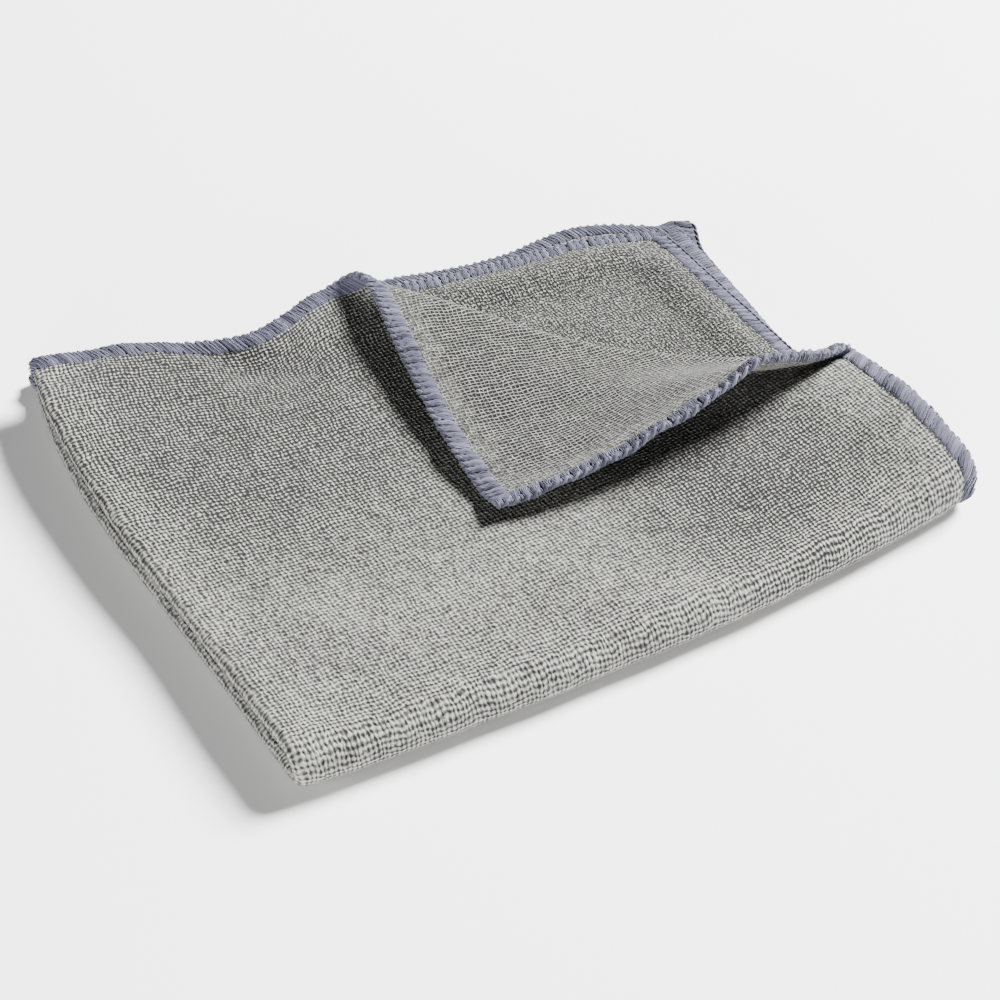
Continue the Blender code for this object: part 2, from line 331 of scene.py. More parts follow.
class Fold:
    """The sheet's middle surface in its folded place, for any flat place u, v."""

    def __init__(self, length, width, thickness):
        self.half_length = length / 2
        self.half_width = width / 2
        self.thickness = thickness

    def smooth(self, u, v):
        """The fold without the small unevenness."""
        x, y, z, upper = fold_in_four(u, v, self.thickness)
        x, y = shift_hems(x, y, u, v, self.half_length, self.half_width)
        flat_x = x
        flat_y = y
        z = z + upper * lift(x, y, self.half_width)
        z = z + ridge(u, v, self.half_length, self.half_width)
        top = (u > 0) & (v > 0)
        x, y, z = turn_corner(
            x, y, z, top, self.half_length, self.half_width, self.thickness
        )
        x, y = settle(x, y, flat_x, flat_y, self.half_length, self.half_width)
        near_hem = np.minimum(self.half_length - abs(u), self.half_width - abs(v))
        z = z + np.where(top, 0, HEM_RISE * ease(1 - near_hem / HEM_RISE_RUN))
        return np.stack([x, y, z], axis=-1)

    def normal(self, u, v, step=0.25):
        """Unit normal on the outer side, from the smooth fold."""
        along = self.smooth(u + step, v) - self.smooth(u - step, v)
        across = self.smooth(u, v + step) - self.smooth(u, v - step)
        normal = np.cross(along, across)
        return normal / np.linalg.norm(normal, axis=-1, keepdims=True)

    def unevenness(self, u, v):
        """How far the cloth stands out from the smooth fold, most on the top layer."""
        near_hem = np.minimum(self.half_length - abs(u), self.half_width - abs(v))
        top = ease(u / 30 + 0.5) * ease(v / 30 + 0.5)
        soft = UNEVEN_HEIGHT * waves(u, v, UNEVEN_WAVES, UNEVEN_LENGTH, 11) * (0.3 + 0.7 * top)
        waver = WAVER_HEIGHT * waves(u, v, WAVER_WAVES, WAVER_LENGTH, 5)
        return soft + waver * (0.25 + 0.75 * top) * bell(np.maximum(near_hem, 0), WAVER_REACH)

    def place(self, u, v, out=0.0):
        """Place at a height out from the middle surface."""
        normal = self.normal(u, v)
        high = self.unevenness(u, v) + out
        return self.smooth(u, v) + normal * high[..., None]


def stations(half, fold, cells):
    """Grid lines over one side of the flat sheet, close together at the fold."""
    far, bend, near = cells
    before = np.linspace(-half, -fold, far + 1)[:-1]
    middle = np.linspace(-fold, fold, bend + 1)
    after = np.linspace(fold, half, near + 1)[1:]
    return np.concatenate([before, middle, after])


# ---------------------------------------------------------------------------
# Meshes and nodes
# ---------------------------------------------------------------------------


def make_piece(name, places, faces, uvs, materials, face_material=None):
    """A smooth mesh piece from places in millimetres and a list of face index arrays. It lies
    on the floor, so what would hang lower is pressed flat there."""
    places[:, 2] = np.maximum(places[:, 2], ABOVE_FLOOR)
    mesh = bpy.data.meshes.new(name)
    sizes = np.concatenate([np.full(len(part), part.shape[1]) for part in faces])
    corners = np.concatenate([part.ravel() for part in faces])
    mesh.vertices.add(len(places))
    mesh.vertices.foreach_set("co", (places * MM).astype(np.float32).ravel())
    mesh.loops.add(len(corners))
    mesh.loops.foreach_set("vertex_index", corners.astype(np.int32))
    mesh.polygons.add(len(sizes))
    starts = np.concatenate([[0], np.cumsum(sizes)[:-1]])
    mesh.polygons.foreach_set("loop_start", starts.astype(np.int32))
    layer = mesh.uv_layers.new(name="flat")
    layer.data.foreach_set("uv", uvs[corners].astype(np.float32).ravel())
    for material in materials:
        mesh.materials.append(material)
    if face_material is not None:
        mesh.polygons.foreach_set("material_index", face_material.astype(np.int32))
    mesh.update(calc_edges=True)
    mesh.validate()
    mesh.shade_smooth()
    piece = bpy.data.objects.new(name, mesh)
    bpy.context.scene.collection.objects.link(piece)
    return piece


def linear(colour):
    """An sRGB hex colour as linear RGBA."""
    parts = [int(colour[i : i + 2], 16) / 255 for i in (1, 3, 5)]
    return (*(c / 12.92 if c <= 0.04045 else ((c + 0.055) / 1.055) ** 2.4 for c in parts), 1.0)


MATH = "ShaderNodeMath"
VECTOR_MATH = "ShaderNodeVectorMath"
NOISE = "ShaderNodeTexNoise"


def add_node(tree, kind, inputs=(), stops=(), **settings):
    """Add a node with its settings and return its outputs. Its inputs, in order or by name,
    are values or other nodes' outputs. A colour ramp also has (place, hex colour) stops."""
    node = tree.nodes.new(kind)
    for name, value in settings.items():
        setattr(node, name, value)
    for key, value in inputs.items() if isinstance(inputs, dict) else enumerate(inputs):
        if isinstance(value, bpy.types.NodeSocket):
            tree.links.new(value, node.inputs[key])
        else:
            node.inputs[key].default_value = value
    for number, (place, colour) in enumerate(stops):
        elements = node.color_ramp.elements
        element = elements[number] if number < len(elements) else elements.new(place)
        element.position = place
        element.color = linear(colour)
    return node.outputs


def new_material(name):
    """An empty material; returns it with its nodes and its shader."""
    material = bpy.data.materials.new(name)
    material.use_nodes = True
    tree = material.node_tree
    return material, tree, tree.nodes["Principled BSDF"]


def finish_material(tree, shader, colour, height, depth, surface, strength=1.0):
    """Link a colour and a bump that is depth mm deep, and set what is the same all over."""
    inputs = {"Height": height, "Strength": strength, "Distance": depth * MM}
    bump = add_node(tree, "ShaderNodeBump", inputs)
    tree.links.new(colour, shader.inputs["Base Color"])
    tree.links.new(bump["Normal"], shader.inputs["Normal"])
    for name, value in surface.items():
        shader.inputs[name].default_value = value


# ---------------------------------------------------------------------------
# Materials. Lengths are in mm on the flat sheet. Heights and tones run from about 0, deep
# between the loops or darkest, to 1.
# ---------------------------------------------------------------------------

# How a pile looks: how far its loops stray, how much loose fibre stands up, how much darker
# it is than the middle tone, and its contrast between the painted shade in the gaps between its
# loops and the painted highlight on their tips.
#            stray  fibre  dark  contrast
FRESH_PILE = (0.7, 0.75, 0.12, 1.1)
WORN_PILE = (1.3, 1.5, 0.39, 1.7)

# Noise runs over the sheet in metres, so these are lumps to a metre. Real fibres are much
# finer and are drawn this coarse so that they show.
ROW_LUMPS = 140.0
LOOP_LUMPS = 620.0
PATCH_LUMPS = 45.0
PILE_FIBRES = 1500.0
NET_FIBRES = 1700.0
# How far rows of loops wander.
ROW_WANDER = 1.6

# How much the ribs and the rows each add to the pile's height.
LOOP_HEIGHT = 0.17
# Tone at middle height, and how much it varies between loops and between larger patches.
MIDDLE_TONE = 0.4
LOOP_SHADE = 0.24
PATCH_SHADE = 0.2
# Painted shade in the gaps between the loops, which bends open: how much where the pile has no
# height, how fast it lessens as the pile rises, and how much it darkens the tone.
GAP_DEPTH = 1.15
GAP_SLOPE = 1.5
GAP_SHADE = 0.75

# Places where the gaps between the loops get their full painted shade: the back left curl, where
# a bend stretches the knit and opens its loops, and the slope up to the roll near its right end,
# under the turned corner's arch.
#                  along  across  reach
GAP_SHADE_PLACES = ((45.0, 118.0, 75.0), (150.0, 30.0, 45.0))
# Share of each place's reach where the painted shade is full.
GAP_SHADE_CORE = 0.3
# The front fold opens the loops a little and gives their gaps some painted shade: from and to how
# far off, and how much.
GAP_SHADE_FRONT = (5.0, 20.0, 0.15)

# Along the two folds the loops line up in fuller lines: how much, from how far off, and up to
# how far off beside the left fold and the front one.
LINED_UP = 0.055
LINES_START = 4.0
LINES_REACH = {"X": 20.0, "Y": 26.0}
# Least fullness of such a line, and how much more its loops have than its gaps.
LINE_FULLNESS = (1.2, 0.6)

# The net: how strong its rows are against its ribs, and how softly the two join.
NET_ROWS = (0.9, -0.08)
NET_BLEND = 0.3
# Waves from hole to yarn, the level of the yarn, and how much fibre, shade and tone it has.
NET_RANGE = (0.05, 1.0)
NET_YARN = 0.8
NET_FIBRE = 0.9
NET_SHADE = 0.15
NET_TONE = 0.61
# The net closes towards the hem: from and to where, and how far.
NET_CLOSES = (-15.0, -5.0, 0.35)
NET_STRAY = 0.5

# How deep the pile, the net and the yarn's filaments are.
PILE_DEPTH = 0.42
NET_DEPTH = 0.5
YARN_DEPTH = 0.12
# Places of the dark, main and light colour in each look. On the pile and the net the dark is
# painted shade between the loops and in the holes, and the light is painted highlight on the
# tips;
# on the yarn they are its shaded and lit filaments.
PILE_STOPS = (0.12, 0.5, 0.85)
NET_STOPS = (0.5, 0.8, 1.0)
YARN_STOPS = (0.25, 0.5, 0.8)
# Filaments to a metre across the yarn and along it, drawn coarser than real.
FILAMENTS = (400.0, 9.0, 1.0)
# The knit under the stitches is painted in the hem yarn's shaded colour: the yarn that covers it,
# with painted shade. It reaches from the edge to this far outside the needle line.
UNDER_HEM = 0.6

# Matt textile surfaces: typical values for unbrushed microfibre and for textured polyester.
KNIT_SURFACE = {
    "Roughness": 0.95,
    "Specular IOR Level": 0.25,
    "Sheen Weight": 0.08,
    "Sheen Roughness": 0.5,
}
YARN_SURFACE = {
    "Roughness": 0.8,
    "Specular IOR Level": 0.3,
    "Sheen Weight": 0.15,
    "Sheen Roughness": 0.4,
}
PAPER_SURFACE = {"Roughness": 0.9}


def knit_cells(tree, sizes, stray):
    """Place on the flat sheet and in the knit's cells, one loop to a cell. Loops wander in
    their rows, and each is a little askew."""
    flat = add_node(tree, "ShaderNodeUVMap", uv_map="flat")["UV"]
    place = flat
    for lumps, reach in ((ROW_LUMPS, ROW_WANDER), (LOOP_LUMPS, stray)):
        inputs = {"Vector": flat, "Scale": lumps, "Detail": 1.0}
        noise = add_node(tree, NOISE, inputs, noise_dimensions="2D")["Color"]
        about_zero = (noise, (-0.5, -0.5, -0.5))
        wander = add_node(tree, VECTOR_MATH, about_zero, operation="ADD")[0]
        moved = (wander, (reach * MM, reach * MM, 0), place)
        place = add_node(tree, VECTOR_MATH, moved, operation="MULTIPLY_ADD")[0]
    scaled = (place, (1 / (sizes.wale * MM), 1 / (sizes.course * MM), 0))
    return flat, add_node(tree, VECTOR_MATH, scaled, operation="MULTIPLY")[0]


def knit_waves(tree, cells):
    """Waves across the ribs and along them, 1 in the middle of each loop and -1 between."""
    parts = add_node(tree, "ShaderNodeSeparateXYZ", (cells,))
    found = []
    for axis in ("X", "Y"):
        turn = (parts[axis], 2 * np.pi, np.pi)
        turn = add_node(tree, MATH, turn, operation="MULTIPLY_ADD")[0]
        found.append(add_node(tree, MATH, (turn,), operation="COSINE")[0])
    return found


def loop_shade(tree, cells):
    """A random shade for each loop."""
    inputs = {"Vector": cells, "Scale": 1.0, "Randomness": 0.0}
    loops = add_node(tree, "ShaderNodeTexVoronoi", inputs, voronoi_dimensions="2D")
    return add_node(tree, "ShaderNodeSeparateColor", (loops["Color"],))["Red"]


def away_from_middle(tree, flat, axis):
    """How far a place lies from the sheet's middle line, along one axis."""
    part = add_node(tree, "ShaderNodeSeparateXYZ", (flat,))[axis]
    return add_node(tree, MATH, (part,), operation="ABSOLUTE")[0]


def from_edge(tree, flat, sizes):
    """How far a place lies from the nearest edge of the sheet, less than 0 inside it."""
    sides = []
    for axis, whole in (("X", sizes.length), ("Y", sizes.width)):
        away = (away_from_middle(tree, flat, axis), whole / 2 * MM)
        sides.append(add_node(tree, MATH, away, operation="SUBTRACT")[0])
    return add_node(tree, MATH, sides, operation="MAXIMUM")[0]


def fade(tree, value, start, end, start_value=1.0, end_value=0.0):
    """A smooth change from one value to another between two distances."""
    inputs = {
        "Value": value,
        "From Min": start * MM,
        "From Max": end * MM,
        "To Min": start_value,
        "To Max": end_value,
    }
    return add_node(tree, "ShaderNodeMapRange", inputs, interpolation_type="SMOOTHSTEP")[0]


def gap_shade_share(tree, flat):
    """Share of the painted shade between the loops, from 0 to 1: some along the front fold, where
    the knit is stretched over a bend, and full in the listed places.
    """
    start, end, most = GAP_SHADE_FRONT
    total = fade(tree, away_from_middle(tree, flat, "Y"), start, end, most)
    for along, across, reach in GAP_SHADE_PLACES:
        inputs = (flat, (along * MM, across * MM, 0))
        away = add_node(tree, VECTOR_MATH, inputs, operation="DISTANCE")["Value"]
        both = (fade(tree, away, GAP_SHADE_CORE * reach, reach), total)
        total = add_node(tree, MATH, both, operation="MAXIMUM")[0]
    return total


def lined_up(tree, flat, rib, row):
    """Height to add where a fold pulls the loops into fuller lines that run along it."""
    least, more = LINE_FULLNESS
    total = 0.0
    for axis, wave in (("X", rib), ("Y", row)):
        away = away_from_middle(tree, flat, axis)
        share = fade(tree, away, LINES_START, LINES_REACH[axis], LINED_UP)
        fuller = add_node(tree, MATH, (wave, more, least), operation="MULTIPLY_ADD")[0]
        total = add_node(tree, MATH, (share, fuller, total), operation="MULTIPLY_ADD")[0]
    return total


def knit_fibre(tree, flat, lumps):
    """Loose fibres, lighter and darker in turn."""
    inputs = {"Vector": flat, "Scale": lumps, "Detail": 2.0, "Roughness": 0.6}
    return add_node(tree, NOISE, inputs, noise_dimensions="2D")["Fac"]


def paint_shade_under_hem(tree, flat, colour, sizes, colours):
    """Paint the knit under the stitches in the hem yarn's shaded colour: the yarn that covers it,
    with painted shade.
    """
    needle_line = (from_edge(tree, flat, sizes), (UNDER_HEM - sizes.hem_width) * MM)
    band = add_node(tree, MATH, needle_line, operation="GREATER_THAN")[0]
    # The yarn's shaded colour here is painted shade under the stitches.
    mixed = {0: band, 6: colour, 7: linear(colours.yarn_shade)}
    return add_node(tree, "ShaderNodeMix", mixed, data_type="RGBA")[2]


def looped_knit(name, sizes, colours, look):
    """Split polyester and polyamide microfibre, warp knitted with a short looped pile and left
    unbrushed: rows of small matt beads, with painted shade in the gaps between them and painted
    highlight on their tips."""
    stray, fibres, dark, contrast = look
    material, tree, shader = new_material(name)
    flat, cells = knit_cells(tree, sizes, stray)
    rib, row = knit_waves(tree, cells)
    height = 0.5 - fibres / 2
    for wave, share in (
        (rib, LOOP_HEIGHT),
        (row, LOOP_HEIGHT),
        (lined_up(tree, flat, rib, row), 1.0),
        (knit_fibre(tree, flat, PILE_FIBRES), fibres),
    ):
        height = add_node(tree, MATH, (wave, share, height), operation="MULTIPLY_ADD")[0]
    # Painted shade in the gaps between the loops, most where a bend opens them and in the listed
    # places.
    loop_gap_shade = (height, -GAP_SLOPE, GAP_DEPTH)
    loop_gap_shade = add_node(tree, MATH, loop_gap_shade, operation="MULTIPLY_ADD")[0]
    loop_gap_shade = add_node(tree, MATH, (loop_gap_shade, 0.0), operation="MAXIMUM")[0]
    loop_gap_shade = add_node(tree, MATH, (loop_gap_shade, gap_shade_share(tree, flat)), operation="MULTIPLY")[0]
    inputs = {"Vector": flat, "Scale": PATCH_LUMPS, "Detail": 4.0}
    patch = add_node(tree, NOISE, inputs, noise_dimensions="2D")["Fac"]
    tone = MIDDLE_TONE - contrast / 2 - dark
    for part, share in (
        (height, contrast),
        (loop_shade(tree, cells), LOOP_SHADE),
        (patch, PATCH_SHADE),
        (loop_gap_shade, -GAP_SHADE),
    ):
        tone = add_node(tree, MATH, (part, share, tone), operation="MULTIPLY_ADD")[0]
    # The gaps' colour is painted shade between the loops, and the tips' colour is painted
    # highlight.
    stops = zip(PILE_STOPS, (colours.knit_gap_shade, colours.knit, colours.knit_tip_highlight))
    colour = add_node(tree, "ShaderNodeValToRGB", (tone,), stops)["Color"]
    colour = paint_shade_under_hem(tree, flat, colour, sizes, colours)
    finish_material(tree, shader, colour, height, PILE_DEPTH, KNIT_SURFACE)
    return material


def open_knit(sizes, colours):
    """The same knit on its inner side where the turned corner stretches it: an open net of
    matt yarn with a small hole in each stitch, closed up beside the hem. The holes are painted
    shade and the highest yarn is painted highlight."""
    material, tree, shader = new_material("microfibre_open_ground_knit")
    flat, cells = knit_cells(tree, sizes, NET_STRAY)
    rib, row = knit_waves(tree, cells)
    row = add_node(tree, MATH, (row, *NET_ROWS), operation="MULTIPLY_ADD")[0]
    net = add_node(tree, MATH, (rib, row, NET_BLEND), operation="SMOOTH_MAX")[0]
    inputs = {"Value": net, "From Min": NET_RANGE[0], "From Max": NET_RANGE[1]}
    net = add_node(tree, "ShaderNodeMapRange", inputs)[0]
    start, end, closed = NET_CLOSES
    opening = fade(tree, from_edge(tree, flat, sizes), start, end, 1.0, closed)
    net = add_node(tree, MATH, (net, NET_YARN), operation="SUBTRACT")[0]
    net = add_node(tree, MATH, (net, opening, NET_YARN), operation="MULTIPLY_ADD")[0]
    fibre = (knit_fibre(tree, flat, NET_FIBRES), NET_FIBRE, net)
    height = add_node(tree, MATH, fibre, operation="MULTIPLY_ADD")[0]
    tone = add_node(tree, MATH, (height, NET_TONE), operation="MULTIPLY")[0]
    shade = (loop_shade(tree, cells), NET_SHADE, tone)
    tone = add_node(tree, MATH, shade, operation="MULTIPLY_ADD")[0]
    # The holes' colour is painted shade, and the tips' colour is painted highlight.
    stops = zip(NET_STOPS, (colours.knit_hole_shade, colours.knit, colours.net_tip_highlight))
    colour = add_node(tree, "ShaderNodeValToRGB", (tone,), stops)["Color"]
    colour = paint_shade_under_hem(tree, flat, colour, sizes, colours)
    finish_material(tree, shader, colour, height, NET_DEPTH, KNIT_SURFACE)
    return material


def overlock_yarn(colours):
    """Textured polyester yarn, spun from many loose filaments and sewn as an overlock edge:
    a soft dull thread with fine lines along it."""
    material, tree, shader = new_material("textured_polyester_overlock_yarn")
    flat = add_node(tree, "ShaderNodeUVMap", uv_map="flat")["UV"]
    lines = add_node(tree, "ShaderNodeMapping", {"Vector": flat, "Scale": FILAMENTS})[0]
    inputs = {"Vector": lines, "Scale": 1.0, "Detail": 3.0, "Roughness": 0.6}
    filament = add_node(tree, NOISE, inputs, noise_dimensions="2D")["Fac"]
    stops = zip(YARN_STOPS, (colours.yarn_shade, colours.yarn, colours.yarn_light))
    colour = add_node(tree, "ShaderNodeValToRGB", (filament,), stops)["Color"]
    finish_material(tree, shader, colour, filament, YARN_DEPTH, YARN_SURFACE, 0.7)
    return material


def floor_paper(colours):
    """Matt white backdrop paper with the faintest clouding."""
    material, tree, shader = new_material("matt_backdrop_paper")
    where = add_node(tree, "ShaderNodeNewGeometry")["Position"]
    cloud = add_node(tree, NOISE, {"Vector": where, "Scale": 3.0, "Detail": 3.0})["Fac"]
    stops = ((0.3, colours.floor), (0.7, colours.floor_light))
    colour = add_node(tree, "ShaderNodeValToRGB", (cloud,), stops)["Color"]
    tree.links.new(colour, shader.inputs["Base Color"])
    for name, value in PAPER_SURFACE.items():
        shader.inputs[name].default_value = value
    return material


# ---------------------------------------------------------------------------
# Sizes and colours that a user may change
# ---------------------------------------------------------------------------


def size(name, text, value, low, high):
    """A length property, given in mm and kept in metres."""
    return bpy.props.FloatProperty(
        name=name,
        description=text,
        default=value * MM,
        min=low * MM,
        max=high * MM,
        precision=5,
        subtype="DISTANCE",
        unit="LENGTH",
    )


class ClothSizes(bpy.types.PropertyGroup):
    """Sizes of the cloth."""

    length: size("Length", "Long side of the flat sheet", 400.0, 300.0, 500.0)
    width: size("Width", "Short side of the flat sheet", 300.0, 200.0, 400.0)
    thickness: size("Thickness", "Thickness of the knit", 1.8, 0.8, 3.0)
    edge: size("Edge thickness", "Thickness of the knit under the hem", 1.2, 0.4, 2.0)
    wale: size("Wale spacing", "Distance between ribs of the knit", 1.19, 0.8, 2.0)
    course: size("Course spacing", "Distance between loops in a rib", 1.16, 0.8, 2.0)
    hem_width: size("Hem width", "Width of the overlock stitches", 4.2, 3.0, 7.0)
    stitch: size("Stitch length", "Distance between stitches along the hem", 2.45, 1.5, 4.0)
    strand: size("Strand thickness", "Thickness of one strand of yarn", 0.5, 0.3, 0.9)


def in_mm(sizes):
    """The cloth's sizes as plain numbers in mm."""
    names = ClothSizes.__annotations__
    return SimpleNamespace(**{name: round(getattr(sizes, name) / MM, 4) for name in names})


def colour(name, text, value):
    """A colour property, kept as an sRGB hex value."""
    return bpy.props.StringProperty(name=name, description=text, default=value, maxlen=7)


class ClothColours(bpy.types.PropertyGroup):
    """Colours of the knit, the yarn and the floor."""

    knit: colour("Knit", "Main colour of the knit", "#50504D")
    # The tips' colours are painted highlight on the loops and the net; the colours of the gaps
    # and holes are painted shade.
    knit_tip_highlight: colour("Loop tips", "Lightest colour, on the tips of the loops", "#92928C")
    net_tip_highlight: colour("Net tips", "Lightest yarn of the open inner side", "#96968F")
    knit_gap_shade: colour("Gaps", "Colour between the loops of the outer side", "#141413")
    knit_hole_shade: colour("Holes", "Colour in the holes of the inner side", "#070707")
    yarn: colour("Hem yarn", "Main colour of the overlock yarn", "#484857")
    yarn_light: colour("Hem yarn, light", "Lit filaments of the yarn", "#6C6C7C")
    yarn_shade: colour("Hem yarn, dark", "Shaded filaments of the yarn", "#1C1C2B")
    floor: colour("Floor", "Colour of the backdrop paper", "#F4F4F4")
    floor_light: colour("Floor, light", "Lighter clouds of the backdrop paper", "#FAFAFA")


class StageSizes(bpy.types.PropertyGroup):
    """Camera and lights."""

    lens: bpy.props.FloatProperty(
        name="Lens", description="Focal length", default=72.0, min=20.0, max=200.0, unit="CAMERA"
    )
    key: bpy.props.FloatProperty(
        name="Key light", description="Power of the main softbox", default=455.0, unit="POWER"
    )
    fill: bpy.props.FloatProperty(
        name="Fill light", description="Power of the front softbox", default=32.0, unit="POWER"
    )
    left: bpy.props.FloatProperty(
        name="Left light", description="Power of the low left softbox", default=11.0, unit="POWER"
    )
    room: bpy.props.FloatProperty(
        name="Room light", description="Strength of the light from all round", default=0.005
    )


# ---------------------------------------------------------------------------
# The sheet
# ---------------------------------------------------------------------------


# The knit is pressed thinner from the edge in to here, and has its full thickness this much
# further in.
PRESSED_WIDTH = 3.5
PRESSED_FADE = 3.0


def half_thickness(sizes, u, v):
    """Half the knit's thickness: it is pressed thinner under the hem's stitches."""
    near_hem = np.minimum(sizes.length / 2 - abs(u), sizes.width / 2 - abs(v))
    full = ease((near_hem - PRESSED_WIDTH) / PRESSED_FADE)
    return (sizes.edge + (sizes.thickness - sizes.edge) * full) / 2


def make_sheet(sizes, colours):
    """One closed sheet: an outer face, an inner face and the rim between them."""
    fold = Fold(sizes.length, sizes.width, sizes.thickness)
    along = stations(sizes.length / 2, FOLD_RADIUS * np.pi / 2, CELLS_ALONG)
    across = stations(sizes.width / 2, FRONT_RADIUS * np.pi / 2, CELLS_ACROSS)
    u, v = np.meshgrid(along, across, indexing="ij")
    half = half_thickness(sizes, u, v)
    places = np.concatenate(
        [fold.place(u, v, half).reshape(-1, 3), fold.place(u, v, -half).reshape(-1, 3)]
    )
    uvs = np.tile(np.stack([u, v], axis=-1).reshape(-1, 2) * MM, (2, 1))
    index = np.arange(u.size).reshape(u.shape)
    outer = np.stack(
        [index[:-1, :-1], index[1:, :-1], index[1:, 1:], index[:-1, 1:]], axis=-1
    ).reshape(-1, 4)
    inner = outer[:, ::-1] + u.size
    loop = np.concatenate([index[:-1, 0], index[-1, :-1], index[:0:-1, -1], index[0, :0:-1]])
    ahead = np.roll(loop, -1)
    rim = np.stack([loop, loop + u.size, ahead + u.size, ahead], axis=-1)
    turned = u.ravel()[outer].mean(axis=1) > 0
    kinds = np.concatenate(
        [np.zeros(len(outer)), np.where(turned, 1, 2), np.zeros(len(rim))]
    )
    materials = [
        looped_knit("microfibre_looped_pile_knit", sizes, colours, FRESH_PILE),
        open_knit(sizes, colours),
        looped_knit("microfibre_worn_pile_knit", sizes, colours, WORN_PILE),
    ]
    return make_piece("knit_sheet", places, [outer, inner, rim], uvs, materials, kinds)


class CLOTH_OT_sheet(bpy.types.Operator):
    """Make the folded knit sheet"""

    bl_idname = "cloth.make_sheet"
    bl_label = "Knit sheet"

    def execute(self, context):
        scene = context.scene
        sheet = make_sheet(in_mm(scene.cloth_sizes), scene.cloth_colours)
        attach(sheet, "root")
        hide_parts("cloth")
        return {"FINISHED"}


# ---------------------------------------------------------------------------
# The hem
# ---------------------------------------------------------------------------

# One strand of a stitch, from the needle line over the edge and back to the needle line on
# the other face: how far in from the edge as a share of the hem's width, on which face, how
# high above the knit as a share of the strand's thickness, how far the stitch leans along
# the hem in mm, and how much of its room the bundle of strands takes up.
#                  in    face   high   lean  room
STRAND_PATH = (
    (1.02, 1.0, -0.80, 0.00, 0.55),
    (0.97, 1.0, 0.20, 0.05, 0.75),
    (0.84, 1.0, 0.85, 0.30, 0.97),
    (0.60, 1.0, 1.10, 0.85, 1.00),
    (0.34, 1.0, 1.05, 1.50, 1.00),
    (0.12, 1.0, 0.80, 2.05, 0.98),
    (-0.03, 0.75, 0.70, 2.30, 0.95),
    (-0.09, 0.0, 0.70, 2.40, 0.92),
    (-0.03, -0.75, 0.60, 2.45, 0.94),
    (0.13, -1.0, 0.90, 2.42, 0.90),
    (0.30, -1.0, 0.55, 2.33, 0.78),
    (0.46, -1.0, 1.10, 2.20, 0.96),
    (0.62, -1.0, 1.20, 2.05, 1.02),
    (0.86, -1.0, 0.80, 1.80, 0.92),
    (0.97, -1.0, 0.10, 1.65, 0.62),
    (1.02, -1.0, -0.80, 1.60, 0.50),
)
STRANDS = 6
SIDES = 5
# How far apart the strands lie in their texture, and the width of one of their sides there.
STRAND_APART = 0.37
SIDE_WIDTH = 0.02
# How much higher the strands stand in the middle of their bundles, in mm: two bundles to a
# stitch on the outer face and over the edge, one on the inner face.
BUNDLE_ROUND = 0.24
OUTER_BUNDLES = (0.25, 1.0, 0.25, 0.25, 1.0, 0.25)
INNER_BUNDLE = (0.0, 0.65, 1.0, 1.0, 0.65, 0.0)
# The yarn is loose and fluffy, so that its strands stray a little, and more so in the
# stitches' starts, widths and edges. STRAY and EDGE_STRAY are in mm, the others shares.
STRAY = 0.09
EDGE_STRAY = 0.06
PITCH_VARIES = 0.05
WIDTH_VARIES = 0.03
# A stitch's middle lies this far along its lean, in mm.
LEAN_MIDDLE = 1.2
# Share of the hem's width that rounds over the edge.
EDGE_SHARE = 0.3
# How far stitches may pass the sheet's corner, in mm.
HEM_OVERRUN = 0.3
# How much thinner a strand is where it dives at the needle line.
NEEDLE_TAPER = 0.25
# How far the edge thread starts ahead of its stitch, in mm.
EDGE_LEAD = 0.9
# One turn of the thread that runs along the edge: how far along in stitches, how far in from
# the edge in mm, how far out on the inner face in mm, and its thickness in mm.
#              along  in     out    thick
EDGE_TURN = (
    (0.00, 0.15, 0.95, 0.45),
    (0.16, -0.15, 1.10, 0.75),
    (0.32, -0.42, 0.95, 0.95),
    (0.50, -0.62, 0.60, 1.00),
    (0.68, -0.72, 0.20, 0.95),
    (0.85, -0.68, -0.20, 0.75),
    (1.00, -0.50, -0.50, 0.50),
)


def hem_place(fold, sizes, side, s, w, out):
    """Place on a hem: s along its side, w in from its edge and out from the middle surface."""
    name, sign = side
    if name == "end":
        u = sign * (sizes.length / 2 - w)
        v = s
    else:
        u = s
        v = sign * (sizes.width / 2 - w)
    return fold.place(u, v, out)


def sweep(paths, beside, radius):
    """Closed tubes along many paths of the same number of points. beside is a direction
    across each path. Returns places, face index arrays, and uvs in strand order."""
    count, steps, _ = paths.shape
    tangent = np.gradient(paths, axis=1)
    tangent /= np.linalg.norm(tangent, axis=-1, keepdims=True)
    beside = beside - tangent * np.sum(beside * tangent, axis=-1, keepdims=True)
    beside /= np.linalg.norm(beside, axis=-1, keepdims=True)
    above = np.cross(tangent, beside)
    angle = np.arange(SIDES) * 2 * np.pi / SIDES
    ring = (
        beside[:, :, None] * np.cos(angle)[None, None, :, None]
        + above[:, :, None] * np.sin(angle)[None, None, :, None]
    )
    places = paths[:, :, None] + ring * radius[..., None, None]
    index = np.arange(count * steps * SIDES).reshape(count, steps, SIDES)
    turned = np.roll(index, -1, axis=2)
    walls = np.stack(
        [index[:, :-1], index[:, 1:], turned[:, 1:], turned[:, :-1]], axis=-1
    ).reshape(-1, 4)
    caps = np.concatenate([index[:, 0], index[:, -1, ::-1]])
    run = np.linalg.norm(np.diff(paths, axis=1), axis=-1)
    run = np.concatenate([np.zeros((count, 1)), np.cumsum(run, axis=1)], axis=1)
    around = np.minimum(np.arange(SIDES), SIDES - np.arange(SIDES)) * SIDE_WIDTH
    strand = np.arange(count)[:, None, None] * STRAND_APART
    across = strand + np.zeros((1, steps, SIDES)) + around
    uvs = np.stack([across, np.broadcast_to(run[..., None], across.shape)], axis=-1)
    return places.reshape(-1, 3), walls, caps, uvs.reshape(-1, 2) * MM


